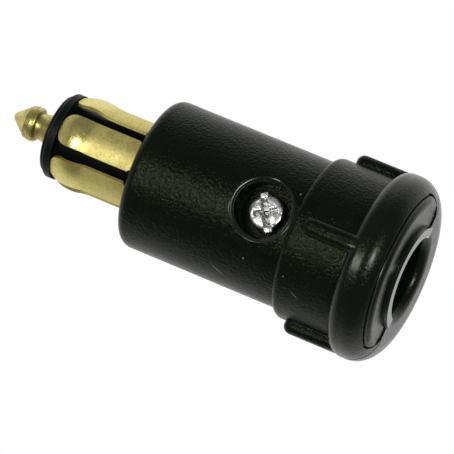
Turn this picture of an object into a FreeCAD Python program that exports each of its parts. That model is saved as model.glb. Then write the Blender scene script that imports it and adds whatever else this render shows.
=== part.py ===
import FreeCAD, Part
import math
import os

# A twelve-volt plug for the small round socket: a brass pin and a sprung brass sleeve on a black
# nose, held between two black half shells by one screw. Sizes are in millimetres. +Z runs along
# the plug from the cable end to the tip of the pin, z = 0 is the rear plane of the cable collar,
# the shells part at y = 0 and the screw is on the -Y side.

# Housing, from the cable end forward
COLLAR_HEIGHT = 0.45
COLLAR_WIDTH = 1.4
COLLAR_SETBACK = 0.6
COLLAR_DRAFT = 0.1
COLLAR_MOUTH_ROUND = 0.25
ENTRY_RADIUS = 5.5
ENTRY_ROUND = 1.2
ENTRY_WALL = 3.6
CORD_RIDGE_HEIGHT = 1.4
CORD_RIDGE_WIDTH = 1.0
BEAD_REAR_DEPTH = 3.42
BEAD_REAR_SPREAD = 3.95
BEAD_CREST_LENGTH = 0.7
BEAD_RISE = 1.55
GRIP_LENGTH = 8.3
SHOULDER_STEP = 0.9
BODY_RADIUS = 9.9
BODY_LENGTH = 22.35
BODY_FRONT_ROUND = 1.3
BODY_WALL = 1.9
PAD_LINE_RADIUS = 10.95
PAD_DROP = 0.2
PAD_EDGE_ROUND = 1.0
PAD_CORNER_ROUND = 3.0
PAD_LINE_WIDTH = 0.3
SEAM_WIDTH = 0.3
SURFACE_LINE_DEPTH = 0.25

# Grip ribs, one at every quarter turn
RIB_COUNT = 4
RIB_WIDTH = 2.4
RIB_RISE = 1.45
RIB_LENGTH = 6.55
RIB_EDGE_ROUND = 1.0

# Nose seat inside the front of the housing
FRONT_WALL = 4.5
REAR_WALL = 2.0

# Housing screw, its counterbore and the post it threads into
SCREW_FROM_SHOULDER = 4.3
COUNTERBORE_RADIUS = 3.7
COUNTERBORE_DEPTH = 3.9
COUNTERBORE_WALL = 1.0
COUNTERBORE_FLOOR = 1.4
COUNTERBORE_LIP_ROUND = 0.45
POST_RADIUS = 2.8
SCREW_RADIUS = 1.4
SCREW_LENGTH = 12.0
SCREW_HEAD_RADIUS = 2.2
SCREW_HEAD_HEIGHT = 1.6
SCREW_HEAD_ROUND = 0.6
SCREW_SLOT_WIDTH = 1.0
SCREW_SLOT_DEPTH = 0.7
SCREW_EAR_WIDTH = 1.5
SCREW_EAR_REACH = 0.4
SCREW_EAR_HEIGHT = 0.9
SCREW_SLOT_TURN = 30.0

# Stamped sleeve with sprung leaves
SLEEVE_RADIUS = 5.82
SHEET = 0.4
FLANGE_REACH = 1.2
FLANGE_THICKNESS = 0.8
SLEEVE_TAIL = 1.2
LEAF_COUNT = 6
LEAF_TURN = 4.0
LEAF_WIDTH = 4.25
LEAF_CORNER_ROUND = 1.6
LEAF_REACH = 11.7
LEAF_ROOT_REACH = 0.2
LEAF_ROOT_RADIUS = 1.4
BULGE_RISE = 0.32
BULGE_FROM_TIP = 2.7
BULGE_LENGTH = 2.8
LEAF_TIP_DROP = 0.35
TAB_WIDTH = 3.0
TAB_LENGTH = 7.2
TAB_THICKNESS = 1.6
TAB_NECK_WIDTH = 1.3

# Nose insulator
NOSE_RADIUS = 5.68
NOSE_THICKNESS = 1.07
NOSE_EDGE_ROUND = 0.3
NOSE_GAP = 0.1
NOSE_RIB_WIDTH = 1.35
NOSE_RIB_DROP = 0.37
NOSE_CORE_RADIUS = 4.3
NOSE_BOSS_RADIUS = 5.2
NOSE_BOSS_HEIGHT = 0.55
NOSE_FOOT_RADIUS = 3.2
NOSE_FOOT_LENGTH = 1.1

# Centre pin, forward from the face of the nose boss
PIN_STEM_RADIUS = 1.6
PIN_COLLAR_RADIUS = 3.0
PIN_COLLAR_LENGTH = 0.3
PIN_NECK_RADIUS = 1.72
PIN_NECK_REACH = 2.4
PIN_NECK_LENGTH = 0.3
PIN_HEAD_ROUND = 0.45
PIN_BALL_RADIUS = 2.28
PIN_BALL_REACH = 3.45
PIN_CONE_REACH = 4.2
PIN_CONE_RADIUS = 2.15
PIN_TIP_REACH = 6.25
PIN_TIP_RADIUS = 0.45
PIN_GROOVE_WIDTH = 0.12
PIN_GROOVE_DEPTH = 0.08
PIN_BLOCK_SIDE = 4.4
PIN_BLOCK_LENGTH = 5.0
WIRE_HOLE_RADIUS = 1.1
WIRE_HOLE_DEPTH = 4.0

# Screws that clamp the two wires
TERMINAL_SCREW_RADIUS = 1.1
TERMINAL_HEAD_RADIUS = 1.75
TERMINAL_HEAD_HEIGHT = 1.2
TERMINAL_SLOT_WIDTH = 0.5
TERMINAL_SLOT_DEPTH = 0.6
TERMINAL_FROM_END = 2.3
TERMINAL_WALL_GAP = 0.2

# Radial room between round pieces that slide into each other
FIT = 0.05
# How far a cutting solid stands clear of what it cuts
CLEAR = 1.0
# Two lengths this close are taken as one
NEARLY = 0.01
# Two points this close are one point
SAME_PLACE = 1e-6
# Spans between the points that draw a quarter of an ellipse
QUARTER_STEPS = 4

GRIP_RADIUS = BODY_RADIUS + SHOULDER_STEP
BEAD_RADIUS = GRIP_RADIUS + BEAD_RISE
RIB_RADIUS = GRIP_RADIUS + RIB_RISE
CAVITY_RADIUS = BODY_RADIUS - BODY_WALL
END_FACE = COLLAR_HEIGHT
PAD_RADIUS = PAD_LINE_RADIUS - PAD_LINE_WIDTH / 2
PAD_FACE = END_FACE + PAD_DROP
BEAD_BACK = END_FACE + BEAD_REAR_DEPTH
BEAD_FRONT = BEAD_BACK + BEAD_CREST_LENGTH
GRIP_BACK = BEAD_FRONT + BEAD_RISE
SHOULDER = GRIP_BACK + GRIP_LENGTH
FRONT = SHOULDER + BODY_LENGTH
ENTRY_INNER = END_FACE + ENTRY_WALL
FLANGE_FRONT = FRONT - FRONT_WALL
FLANGE_BACK = FLANGE_FRONT - FLANGE_THICKNESS
CAVITY_FRONT = FLANGE_BACK - REAR_WALL
SCREW_Z = SHOULDER + SCREW_FROM_SHOULDER
SCREW_SEAT = BODY_RADIUS - COUNTERBORE_DEPTH
SLEEVE_BACK = FLANGE_BACK - SLEEVE_TAIL
LEAF_ROOT = FRONT + LEAF_ROOT_REACH
LEAF_TIP = FRONT + LEAF_REACH
BULGE = LEAF_TIP - BULGE_FROM_TIP
BULGE_BACK = BULGE - BULGE_LENGTH
NOSE_BACK = LEAF_TIP + NOSE_GAP
NOSE_FRONT = NOSE_BACK + NOSE_THICKNESS
NOSE_FACE = NOSE_FRONT + NOSE_BOSS_HEIGHT
BLOCK_FRONT = SLEEVE_BACK - NOSE_FOOT_LENGTH
BLOCK_BACK = BLOCK_FRONT - PIN_BLOCK_LENGTH
TAB_BACK = SLEEVE_BACK - TAB_LENGTH
TERMINAL_TOP = TAB_THICKNESS / 2 + TERMINAL_HEAD_HEIGHT
ROOM_AT_TERMINAL = math.sqrt(CAVITY_RADIUS**2 - TERMINAL_TOP**2)
TAB_X = ROOM_AT_TERMINAL - TERMINAL_WALL_GAP - TERMINAL_HEAD_RADIUS
SLOT_TURN = LEAF_TURN + 180.0 / LEAF_COUNT

FAR = 4 * BEAD_RADIUS
LENGTH_AXIS = FreeCAD.Vector(0, 0, 1)
ORIGIN = FreeCAD.Vector(0, 0, 0)


def at(radius, height):
    """A point of a turned profile: distance from the axis and height along it."""
    return FreeCAD.Vector(radius, 0, height)


def lines(*points):
    """Straight edges through the points, leaving out those of no length."""
    pairs = [(a, b) for a, b in zip(points, points[1:]) if not a.isEqual(b, SAME_PLACE)]
    return [Part.LineSegment(a, b).toShape() for a, b in pairs]


def quarter(radius, height, reach, rise, start):
    """A quarter of an ellipse about a point, from the start angle in degrees on."""
    turns = [math.radians(start + 90.0 * step / QUARTER_STEPS) for step in range(QUARTER_STEPS + 1)]
    points = [at(radius + reach * math.cos(turn), height + rise * math.sin(turn)) for turn in turns]
    if math.isclose(reach, rise):
        return [Part.Arc(points[0], points[QUARTER_STEPS // 2], points[-1]).toShape()]
    curve = Part.BSplineCurve()
    curve.interpolate(points)
    return [curve.toShape()]


def lathe(*runs):
    """The solid that a closed profile sweeps about the plug's axis."""
    edges = [edge for run in runs for edge in run]
    first, last = runs[0][0].firstVertex().Point, runs[-1][-1].lastVertex().Point
    edges += lines(last, first)
    face = Part.Face(Part.Wire(Part.__sortEdges__(edges)))
    return face.revolve(ORIGIN, LENGTH_AXIS, 360)


def tube(outer, inner, low, high):
    """A round tube about the plug's axis."""
    return lathe(lines(at(inner, low), at(outer, low), at(outer, high), at(inner, high)))


def rod(radius, low, high):
    """A cylinder about the plug's axis."""
    return Part.makeCylinder(radius, high - low, at(0, low))


def cross_rod(radius, x, low, high, z):
    """A cylinder along Y."""
    return Part.makeCylinder(radius, high - low, FreeCAD.Vector(x, low, z), FreeCAD.Vector(0, 1, 0))


def block(x, y, z):
    """A box given by its span along each axis."""
    corner = FreeCAD.Vector(x[0], y[0], z[0])
    return Part.makeBox(x[1] - x[0], y[1] - y[0], z[1] - z[0], corner)


def spread(shape, count, first=0.0):
    """Copies of a shape at even turns about the plug's axis."""
    step = 360.0 / count
    return [shape.rotated(ORIGIN, LENGTH_AXIS, first + step * index) for index in range(count)]


def rib(inset):
    """One grip rib on the +X side, with a full round front end."""
    half = RIB_WIDTH / 2 - inset
    foot, top = GRIP_RADIUS - BODY_WALL, RIB_RADIUS - inset
    straight = GRIP_BACK + RIB_LENGTH - RIB_WIDTH / 2
    plan = ((-half, straight), (-half, BEAD_FRONT), (half, BEAD_FRONT), (half, straight))
    corners = [FreeCAD.Vector(foot, y, z) for y, z in plan]
    nose = FreeCAD.Vector(foot, 0, straight + half)
    edges = lines(*corners) + [Part.Arc(corners[3], nose, corners[0]).toShape()]
    solid = Part.Face(Part.Wire(Part.__sortEdges__(edges))).extrude(FreeCAD.Vector(top - foot, 0, 0))
    crest = [
        edge
        for edge in solid.Edges
        if math.isclose(edge.BoundBox.XMin, top, abs_tol=NEARLY) and edge.BoundBox.ZMax > BEAD_FRONT + NEARLY
    ]
    return solid.makeFillet(RIB_EDGE_ROUND - inset, crest)


def skin(inset):
    """The closed outer form of the housing, drawn in by the inset."""
    flat = BEAD_RADIUS - BEAD_REAR_SPREAD
    grip, body = GRIP_RADIUS - inset, BODY_RADIUS - inset
    foot, step_start = GRIP_BACK - inset, SHOULDER - SHOULDER_STEP
    round_centre, front_start = BODY_RADIUS - BODY_FRONT_ROUND, FRONT - BODY_FRONT_ROUND
    form = lathe(
        lines(at(0, FRONT - inset), at(0, END_FACE + inset), at(flat, END_FACE + inset)),
        quarter(flat, BEAD_BACK, BEAD_REAR_SPREAD - inset, BEAD_REAR_DEPTH - inset, -90),
        lines(at(BEAD_RADIUS - inset, BEAD_BACK), at(BEAD_RADIUS - inset, BEAD_FRONT)),
        quarter(GRIP_RADIUS, BEAD_FRONT, BEAD_RISE - inset, BEAD_RISE - inset, 0),
        lines(at(GRIP_RADIUS, foot), at(grip, foot), at(grip, step_start)),
        quarter(BODY_RADIUS, step_start, SHOULDER_STEP - inset, SHOULDER_STEP - inset, 0),
        lines(at(BODY_RADIUS, SHOULDER - inset), at(body, SHOULDER - inset), at(body, front_start)),
        quarter(round_centre, front_start, BODY_FRONT_ROUND - inset, BODY_FRONT_ROUND - inset, 0),
    )
    return form.multiFuse(spread(rib(inset), RIB_COUNT)).removeSplitter()


def hollow():
    """The room inside the housing: cord entry with its ridge, wiring room and the seat of the nose."""
    bore = SLEEVE_RADIUS + FIT
    flange = SLEEVE_RADIUS + FLANGE_REACH + FIT
    ridge = ENTRY_RADIUS - CORD_RIDGE_HEIGHT
    ridge_back = ENTRY_INNER - CORD_RIDGE_WIDTH
    return lathe(
        lines(
            at(0, -CLEAR),
            at(ENTRY_RADIUS, -CLEAR),
            at(ENTRY_RADIUS, ridge_back),
            at(ridge, ridge_back + CORD_RIDGE_WIDTH / 2),
            at(ENTRY_RADIUS, ENTRY_INNER),
            at(CAVITY_RADIUS, ENTRY_INNER),
            at(CAVITY_RADIUS, CAVITY_FRONT),
            at(bore, CAVITY_FRONT),
            at(bore, FLANGE_BACK),
            at(flange, FLANGE_BACK),
            at(flange, FLANGE_FRONT),
            at(bore, FLANGE_FRONT),
            at(bore, FRONT + CLEAR),
            at(0, FRONT + CLEAR),
        )
    )


def seam(core):
    """The shallow line that shows where the two half shells meet."""
    half = SEAM_WIDTH / 2
    return block((-FAR, FAR), (-half, half), (-CLEAR, FRONT + CLEAR)).cut(core)


def pad_plan(radius, low, high):
    """A half disc on the screw side, its two corners rounded."""
    half = Part.makeCylinder(radius, high - low, at(0, low), LENGTH_AXIS, 180)
    half = half.rotated(ORIGIN, LENGTH_AXIS, 180)
    corners = [edge for edge in half.Edges if math.isclose(abs(edge.CenterOfMass.x), radius, abs_tol=NEARLY)]
    return half.makeFillet(PAD_CORNER_ROUND, corners)


def pad_line(core):
    """The fine line round the end pad of the screw side."""
    outer = pad_plan(PAD_RADIUS + PAD_LINE_WIDTH, 0, BEAD_FRONT)
    return outer.cut(pad_plan(PAD_RADIUS, 0, BEAD_FRONT)).cut(core)


def end_pad():
    """The flat pad on the cable end of the screw side, with a rolled edge."""
    pad = pad_plan(PAD_RADIUS, PAD_FACE, BEAD_FRONT)
    boxes = [(edge, edge.BoundBox) for edge in pad.Edges]
    rim = [edge for edge, box in boxes if box.ZMax < PAD_FACE + NEARLY and box.YLength > NEARLY]
    return pad.makeFillet(PAD_EDGE_ROUND, rim)


def mouth(rim, rounding):
    """What a rounded mouth takes out of the cord entry, from the plane of its rim on."""
    bell = ENTRY_RADIUS + rounding
    throat = rim + rounding
    return lathe(
        quarter(bell, throat, rounding, rounding, 180),
        lines(at(bell, rim), at(bell, -CLEAR), at(0, -CLEAR), at(0, throat)),
    )


def half_space(side):
    """All of space on one side of the parting plane: -1 is the screw side."""
    return block((-FAR, FAR), (min(0, side * FAR), max(0, side * FAR)), (-FAR, FRONT + FAR))


def make_screw_shell(shell, core):
    """The half with the screw's counterbore, the cable collar and the lined end pad."""
    screw_side = half_space(-1)
    post_top = SCREW_SEAT - COUNTERBORE_FLOOR
    sleeve = cross_rod(COUNTERBORE_RADIUS + COUNTERBORE_WALL, 0, -BODY_RADIUS, -post_top, SCREW_Z)
    post = cross_rod(POST_RADIUS, 0, -SCREW_SEAT, 0, SCREW_Z)
    rim = ENTRY_RADIUS + COLLAR_WIDTH
    collar = lathe(
        lines(
            at(ENTRY_RADIUS, 0),
            at(rim, 0),
            at(rim + COLLAR_DRAFT, PAD_FACE),
            at(rim + COLLAR_DRAFT, PAD_FACE + CLEAR),
            at(ENTRY_RADIUS, PAD_FACE + CLEAR),
        )
    )
    collar = collar.common(screw_side.translated(FreeCAD.Vector(0, -COLLAR_SETBACK, 0)))
    half = shell.common(screw_side).cut(pad_plan(PAD_RADIUS, 0, PAD_FACE)).cut(pad_line(core))
    half = half.fuse(end_pad().cut(hollow())).cut(seam(core)).fuse(collar)
    half = half.cut(mouth(0, COLLAR_MOUTH_ROUND)).fuse(sleeve.fuse(post).common(core))
    half = half.cut(cross_rod(COUNTERBORE_RADIUS, 0, -FAR, -SCREW_SEAT, SCREW_Z))
    half = half.cut(cross_rod(SCREW_RADIUS + FIT, 0, -FAR, CLEAR, SCREW_Z)).removeSplitter()
    lip = [edge for edge in half.Edges if is_lip(edge)]
    return half.makeFillet(COUNTERBORE_LIP_ROUND, lip)


def is_lip(edge):
    """Whether an edge is where the counterbore breaks out through the skin."""
    box = edge.BoundBox
    wide = math.isclose(box.ZLength, 2 * COUNTERBORE_RADIUS, abs_tol=NEARLY)
    return wide and box.YMax < -SCREW_SEAT - NEARLY


def make_boss_shell(shell, core):
    """The half that the screw threads into, with a rounded mouth at the cable end."""
    post = cross_rod(POST_RADIUS, 0, 0, BODY_RADIUS, SCREW_Z).common(core)
    half = shell.common(half_space(1)).cut(seam(core)).fuse(post).cut(mouth(END_FACE, ENTRY_ROUND))
    pilot = cross_rod(SCREW_RADIUS + FIT, 0, -CLEAR, SCREW_LENGTH - SCREW_SEAT + FIT, SCREW_Z)
    return half.cut(pilot).removeSplitter()


def make_housing_screw():
    """Pan head screw along +Z with its seat at z = 0, then laid along Y with the head outward."""
    rounding = SCREW_HEAD_RADIUS - SCREW_HEAD_ROUND
    rim = SCREW_HEAD_HEIGHT - SCREW_HEAD_ROUND
    head = lathe(
        lines(
            at(0, SCREW_HEAD_HEIGHT),
            at(0, -SCREW_LENGTH),
            at(SCREW_RADIUS, -SCREW_LENGTH),
            at(SCREW_RADIUS, 0),
            at(SCREW_HEAD_RADIUS, 0),
            at(SCREW_HEAD_RADIUS, rim),
        ),
        quarter(rounding, rim, SCREW_HEAD_ROUND, SCREW_HEAD_ROUND, 0),
    )
    reach = SCREW_HEAD_RADIUS + SCREW_EAR_REACH
    ear_top = SCREW_HEAD_HEIGHT - SCREW_HEAD_ROUND / 2
    half_ear, half_slot = SCREW_EAR_WIDTH / 2, SCREW_SLOT_WIDTH / 2
    ears = block((-reach, reach), (-half_ear, half_ear), (ear_top - SCREW_EAR_HEIGHT, ear_top))
    floor = SCREW_HEAD_HEIGHT - SCREW_SLOT_DEPTH
    slot = block((-FAR, FAR), (-half_slot, half_slot), (floor, FAR))
    cross = block((-half_slot, half_slot), (-rounding, rounding), (floor, FAR))
    screw = head.fuse(ears).cut(slot.fuse(cross)).removeSplitter()
    screw = screw.rotated(ORIGIN, LENGTH_AXIS, SCREW_SLOT_TURN)
    screw = screw.rotated(ORIGIN, FreeCAD.Vector(1, 0, 0), 90)
    return screw.translated(FreeCAD.Vector(0, -SCREW_SEAT, SCREW_Z))


def make_terminal_screw(x, seat, length, z):
    """Cheese head screw whose head lies against the face y = -seat, pointing to +Y."""
    top = seat + TERMINAL_HEAD_HEIGHT
    head = cross_rod(TERMINAL_HEAD_RADIUS, x, -top, -seat, z)
    shank = cross_rod(TERMINAL_SCREW_RADIUS, x, -seat, length - seat, z)
    half = TERMINAL_SLOT_WIDTH / 2
    slot = block((x - half, x + half), (-FAR, -top + TERMINAL_SLOT_DEPTH), (z - FAR, z + FAR))
    return head.fuse(shank).cut(slot).removeSplitter()


def spring_edge(radius):
    """One face of a leaf in profile: straight, out over the bulge and in to the tip."""
    points = [at(radius, BULGE_BACK), at(radius + BULGE_RISE, BULGE), at(radius - LEAF_TIP_DROP, LEAF_TIP)]
    ahead = FreeCAD.Vector(0, 0, 1)
    inward = FreeCAD.Vector(-(BULGE_RISE + LEAF_TIP_DROP), 0, BULGE_FROM_TIP / 2).normalize()
    curve = Part.BSplineCurve()
    curve.interpolate(Points=points, Tangents=[ahead, ahead, inward], TangentFlags=[True, True, True])
    return [curve.toShape()]


def leaf_plan():
    """The outline of one leaf as a prism along -Y, with a rounded front end."""
    half = LEAF_WIDTH / 2
    prism = block((-half, half), (-FAR, 0), (LEAF_ROOT, LEAF_TIP))
    boxes = [(edge, edge.BoundBox) for edge in prism.Edges]
    corners = [edge for edge, box in boxes if box.YLength > NEARLY and box.ZMin > LEAF_TIP - NEARLY]
    return prism.makeFillet(LEAF_CORNER_ROUND, corners)


def make_sleeve_contact():
    """The sleeve with its flange and leaves, and the tab that takes the second wire."""
    inner = SLEEVE_RADIUS - SHEET
    flange = SLEEVE_RADIUS + FLANGE_REACH
    drop = LEAF_TIP_DROP
    wall = lathe(
        spring_edge(inner),
        lines(at(inner - drop, LEAF_TIP), at(SLEEVE_RADIUS - drop, LEAF_TIP)),
        spring_edge(SLEEVE_RADIUS),
        lines(
            at(SLEEVE_RADIUS, BULGE_BACK),
            at(SLEEVE_RADIUS, FLANGE_FRONT),
            at(flange, FLANGE_FRONT),
            at(flange, FLANGE_BACK),
            at(SLEEVE_RADIUS, FLANGE_BACK),
            at(SLEEVE_RADIUS, SLEEVE_BACK),
            at(inner, SLEEVE_BACK),
        ),
    )
    ring = rod(FAR, SLEEVE_BACK - CLEAR, LEAF_ROOT)
    leaves = spread(leaf_plan(), LEAF_COUNT, LEAF_TURN)
    reliefs = spread(cross_rod(LEAF_ROOT_RADIUS, 0, -FAR, 0, LEAF_ROOT), LEAF_COUNT, SLOT_TURN)
    sheet = wall.common(ring.multiFuse(leaves)).cut(Part.makeCompound(reliefs))
    half = TAB_THICKNESS / 2
    neck_end = SLEEVE_RADIUS - SHEET / 2
    neck_start = neck_end - TAB_NECK_WIDTH
    neck = block((neck_start, neck_end), (-half, half), (BLOCK_FRONT, SLEEVE_BACK + SHEET))
    tab_start = min(neck_start, TAB_X - TAB_WIDTH / 2)
    tab = block((tab_start, TAB_X + TAB_WIDTH / 2), (-half, half), (TAB_BACK, BLOCK_FRONT))
    tapped = cross_rod(TERMINAL_SCREW_RADIUS + FIT, TAB_X, -FAR, FAR, TAB_BACK + TERMINAL_FROM_END)
    return sheet.multiFuse([neck, tab]).cut(tapped).removeSplitter()


def make_nose_insulator():
    """The core inside the sleeve: a disc at the front and one rib in each slot between leaves."""
    rib_radius = SLEEVE_RADIUS - NOSE_RIB_DROP
    base = SLEEVE_RADIUS - SHEET - FIT
    rounding = NOSE_RADIUS - NOSE_EDGE_ROUND
    boss_flat = NOSE_BOSS_RADIUS - NOSE_EDGE_ROUND
    form = lathe(
        lines(
            at(0, BLOCK_FRONT),
            at(NOSE_FOOT_RADIUS, BLOCK_FRONT),
            at(NOSE_FOOT_RADIUS, SLEEVE_BACK + SHEET),
            at(base, SLEEVE_BACK + SHEET),
            at(base, LEAF_ROOT - LEAF_ROOT_RADIUS),
            at(NOSE_CORE_RADIUS, LEAF_ROOT - LEAF_ROOT_RADIUS),
            at(NOSE_CORE_RADIUS, NOSE_BACK),
            at(NOSE_RADIUS, NOSE_BACK),
            at(NOSE_RADIUS, NOSE_FRONT - NOSE_EDGE_ROUND),
        ),
        quarter(rounding, NOSE_FRONT - NOSE_EDGE_ROUND, NOSE_EDGE_ROUND, NOSE_EDGE_ROUND, 0),
        lines(
            at(rounding, NOSE_FRONT),
            at(NOSE_BOSS_RADIUS, NOSE_FRONT),
            at(NOSE_BOSS_RADIUS, NOSE_FACE - NOSE_EDGE_ROUND),
        ),
        quarter(boss_flat, NOSE_FACE - NOSE_EDGE_ROUND, NOSE_EDGE_ROUND, NOSE_EDGE_ROUND, 0),
        lines(at(boss_flat, NOSE_FACE), at(0, NOSE_FACE)),
    )
    half = NOSE_RIB_WIDTH / 2
    bars = spread(
        block((-half, half), (-FAR, 0), (LEAF_ROOT - LEAF_ROOT_RADIUS, NOSE_FRONT)),
        LEAF_COUNT,
        SLOT_TURN,
    )
    ribs = rod(rib_radius, LEAF_ROOT - LEAF_ROOT_RADIUS, NOSE_BACK).common(Part.makeCompound(bars))
    bore = rod(PIN_STEM_RADIUS + FIT, -CLEAR, NOSE_FACE + CLEAR)
    return form.fuse(ribs).cut(bore).removeSplitter()


def make_centre_pin():
    """The pin with its pointed head, stem and square block for the first wire."""
    collar = NOSE_FACE + PIN_COLLAR_LENGTH
    neck, ball = NOSE_FACE + PIN_NECK_REACH, NOSE_FACE + PIN_BALL_REACH
    cone, tip = NOSE_FACE + PIN_CONE_REACH, NOSE_FACE + PIN_TIP_REACH
    head_back, head_flat = neck + PIN_NECK_LENGTH, PIN_BALL_RADIUS - PIN_HEAD_ROUND
    flare = Part.BSplineCurve()
    flare.interpolate(
        Points=[at(PIN_COLLAR_RADIUS, collar), at(PIN_NECK_RADIUS, neck)],
        Tangents=[FreeCAD.Vector(-1, 0, 1).normalize(), FreeCAD.Vector(0, 0, 1)],
        TangentFlags=[True, True],
    )
    head = lathe(
        lines(
            at(0, BLOCK_FRONT),
            at(PIN_STEM_RADIUS, BLOCK_FRONT),
            at(PIN_STEM_RADIUS, NOSE_FACE),
            at(PIN_COLLAR_RADIUS, NOSE_FACE),
            at(PIN_COLLAR_RADIUS, collar),
        ),
        [flare.toShape()],
        lines(at(PIN_NECK_RADIUS, neck), at(PIN_NECK_RADIUS, head_back), at(head_flat, head_back)),
        quarter(head_flat, head_back + PIN_HEAD_ROUND, PIN_HEAD_ROUND, PIN_HEAD_ROUND, -90),
        lines(
            at(PIN_BALL_RADIUS, head_back + PIN_HEAD_ROUND),
            at(PIN_BALL_RADIUS, ball),
            at(PIN_CONE_RADIUS, cone),
            at(PIN_TIP_RADIUS, tip),
            at(0, tip),
        ),
    )
    half_groove = PIN_GROOVE_WIDTH / 2
    groove = tube(FAR, PIN_BALL_RADIUS - PIN_GROOVE_DEPTH, ball - half_groove, ball + half_groove)
    half = PIN_BLOCK_SIDE / 2
    body = block((-half, half), (-half, half), (BLOCK_BACK, BLOCK_FRONT))
    wire = rod(WIRE_HOLE_RADIUS, BLOCK_BACK - CLEAR, BLOCK_BACK + WIRE_HOLE_DEPTH)
    tapped = cross_rod(TERMINAL_SCREW_RADIUS + FIT, 0, -FAR, 0, BLOCK_BACK + TERMINAL_FROM_END)
    return head.cut(groove).fuse(body).cut(wire.fuse(tapped)).removeSplitter()


def main():
    os.makedirs("parts", exist_ok=True)
    core = skin(SURFACE_LINE_DEPTH)
    shell = skin(0).cut(hollow())
    pieces = {
        "centre_pin": make_centre_pin(),
        "nose_insulator": make_nose_insulator(),
        "sleeve_contact": make_sleeve_contact(),
        "screw_shell": make_screw_shell(shell, core),
        "boss_shell": make_boss_shell(shell, core),
        "housing_screw": make_housing_screw(),
        "pin_terminal_screw": make_terminal_screw(
            0, PIN_BLOCK_SIDE / 2, PIN_BLOCK_SIDE / 2, BLOCK_BACK + TERMINAL_FROM_END
        ),
        "sleeve_terminal_screw": make_terminal_screw(
            TAB_X, TAB_THICKNESS / 2, TAB_THICKNESS, TAB_BACK + TERMINAL_FROM_END
        ),
    }
    for name, shape in pieces.items():
        print(name, shape.ShapeType, len(shape.Solids), shape.isValid(), round(shape.Volume, 2))
        shape.exportStep(f"parts/{name}.step")


main()
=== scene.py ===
import math

import bmesh
import bpy
from mathutils import Matrix, Vector


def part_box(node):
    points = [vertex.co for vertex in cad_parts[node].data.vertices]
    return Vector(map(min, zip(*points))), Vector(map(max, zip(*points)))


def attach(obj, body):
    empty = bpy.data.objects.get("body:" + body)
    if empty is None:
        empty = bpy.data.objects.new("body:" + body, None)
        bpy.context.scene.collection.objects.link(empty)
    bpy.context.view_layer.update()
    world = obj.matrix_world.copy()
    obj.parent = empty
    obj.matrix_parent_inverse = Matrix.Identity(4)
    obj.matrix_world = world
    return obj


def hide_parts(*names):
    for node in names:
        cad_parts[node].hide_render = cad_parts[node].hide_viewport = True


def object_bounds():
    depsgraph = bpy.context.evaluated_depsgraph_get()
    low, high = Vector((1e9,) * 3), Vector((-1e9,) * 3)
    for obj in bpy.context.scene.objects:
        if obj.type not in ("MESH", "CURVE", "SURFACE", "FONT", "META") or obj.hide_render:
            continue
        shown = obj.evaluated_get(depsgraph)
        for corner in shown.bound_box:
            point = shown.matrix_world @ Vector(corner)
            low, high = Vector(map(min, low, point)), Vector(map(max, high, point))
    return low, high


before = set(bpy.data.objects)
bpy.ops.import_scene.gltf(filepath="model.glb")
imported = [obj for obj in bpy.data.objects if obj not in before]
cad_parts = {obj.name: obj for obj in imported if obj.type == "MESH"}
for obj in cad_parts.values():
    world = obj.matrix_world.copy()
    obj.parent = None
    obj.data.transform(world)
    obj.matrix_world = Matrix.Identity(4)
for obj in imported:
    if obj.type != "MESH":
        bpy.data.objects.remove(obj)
cad_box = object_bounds()
screw_low, screw_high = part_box("housing_screw")
screw_middle = (screw_low + screw_high) / 2

bl_info = {
    "name": "Small round power plug",
    "version": (1, 0, 0),
    "blender": (4, 5, 0),
    "location": "View3D > Sidebar > Plug",
    "description": "Dresses the pieces of a small round car power plug and sets its stage",
    "category": "Object",
}


def colour_property(name, description, default):
    """A colour that the user may change."""
    return bpy.props.FloatVectorProperty(
        name=name,
        description=description,
        subtype="COLOR",
        size=3,
        min=0,
        max=1,
        default=default,
    )


def length_property(name, description, default):
    """A length in metres that the user may change."""
    return bpy.props.FloatProperty(
        name=name, description=description, unit="LENGTH", min=0, default=default
    )


def angle_property(name, description, degrees):
    """An angle that the user may change, its default given in degrees."""
    return bpy.props.FloatProperty(
        name=name, description=description, subtype="ANGLE", default=math.radians(degrees)
    )


def factor_property(name, description, default):
    """A share from 0 to 1 that the user may change."""
    return bpy.props.FloatProperty(
        name=name, description=description, subtype="FACTOR", min=0, max=1, default=default
    )


def power_property(name, description, default):
    """A lamp's power in watts that the user may change."""
    return bpy.props.FloatProperty(
        name=name, description=description, unit="POWER", min=0, default=default
    )


class PlugFinishes(bpy.types.PropertyGroup):
    """Colours and surface sizes of the plug's materials."""

    plastic_colour: colour_property(
        "Housing colour", "Colour of the moulded housing", (0.0018, 0.0045, 0.0024)
    )
    worn_colour: colour_property(
        "Worn colour", "Colour of the housing's rubbed edges", (0.03, 0.034, 0.03)
    )
    mark_colour: colour_property(
        "Mark colour", "Colour of the specks and scratches", (0.2, 0.2, 0.19)
    )
    plastic_roughness: factor_property(
        "Housing roughness", "Mean roughness of the moulded housing", 0.22
    )
    grain_size: length_property(
        "Grain size", "Distance between the pits of the moulded grain", 0.00036
    )
    grain_depth: length_property("Grain depth", "Depth of the moulded grain", 0.00012)
    brass_colour: colour_property(
        "Brass colour", "Colour of the stamped and turned brass", (0.75, 0.65, 0.23)
    )
    brass_roughness: factor_property("Brass roughness", "Mean roughness of the brass", 0.5)
    zinc_colour: colour_property("Zinc colour", "Colour of the plated screws", (0.9, 0.9, 0.88))
    wear_width: length_property("Wear width", "How far rubbed edges reach in", 0.00018)


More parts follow.
